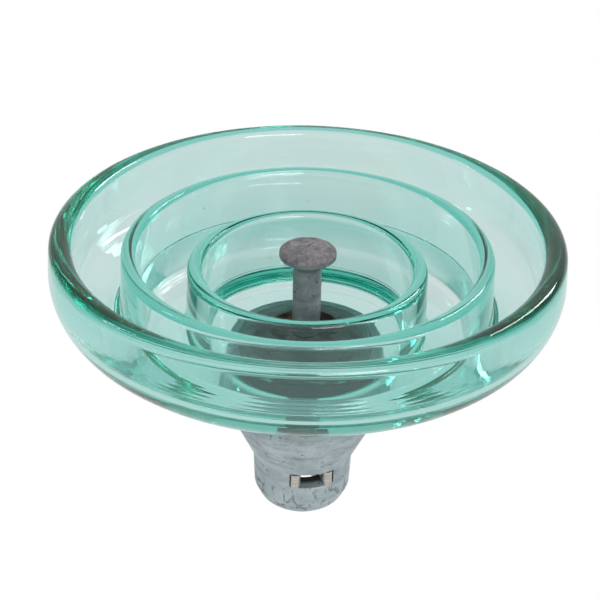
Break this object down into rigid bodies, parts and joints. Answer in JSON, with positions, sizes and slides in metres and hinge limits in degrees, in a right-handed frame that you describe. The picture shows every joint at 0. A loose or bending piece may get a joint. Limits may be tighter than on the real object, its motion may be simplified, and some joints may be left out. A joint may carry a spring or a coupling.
{
  "type": "glass insulator",
  "caption": "Cap-and-pin disc insulator: a deep-ribbed toughened glass disc cemented between a galvanised iron cap with a ball socket and locking clip, and a steel pin ending in a ball.",
  "frame": {"origin": "centre of the cap's end face, on the insulator's axis", "axes": "+Z along the axis from the cap towards the pin's ball; -Y through the locking clip's window, +Y towards the side the mating ball enters from"},
  "size_m": [0.2906, 0.2906, 0.1807],
  "materials": {
    "galvanised_iron": "hot-dip galvanised, dull blue-grey",
    "glass": "clear aqua green, fire-polished",
    "galvanised_steel": "hot-dip galvanised, dull and mottled",
    "cement": "rough, stained brown",
    "bitumen": "thin black coat",
    "cork": "granular cork",
    "stainless_strip": "rolled strip"
  },
  "bodies": {
    "insulator": {"cap": "galvanised_iron", "glass_shell": "glass", "ball_pin": "galvanised_steel", "cap_cement": "cement", "pin_cement": "cement", "cap_lining": "bitumen", "pin_coating": "bitumen", "cap_pad": "cork", "pin_pad": "cork"},
    "clip": {"locking_clip": "stainless_strip"}
  },
  "joints": [
    {"name": "clip_slide", "type": "slide", "parent": "insulator", "child": "clip", "axis": [0, -1, 0], "range_m": [0, 0.01]}
  ]
}
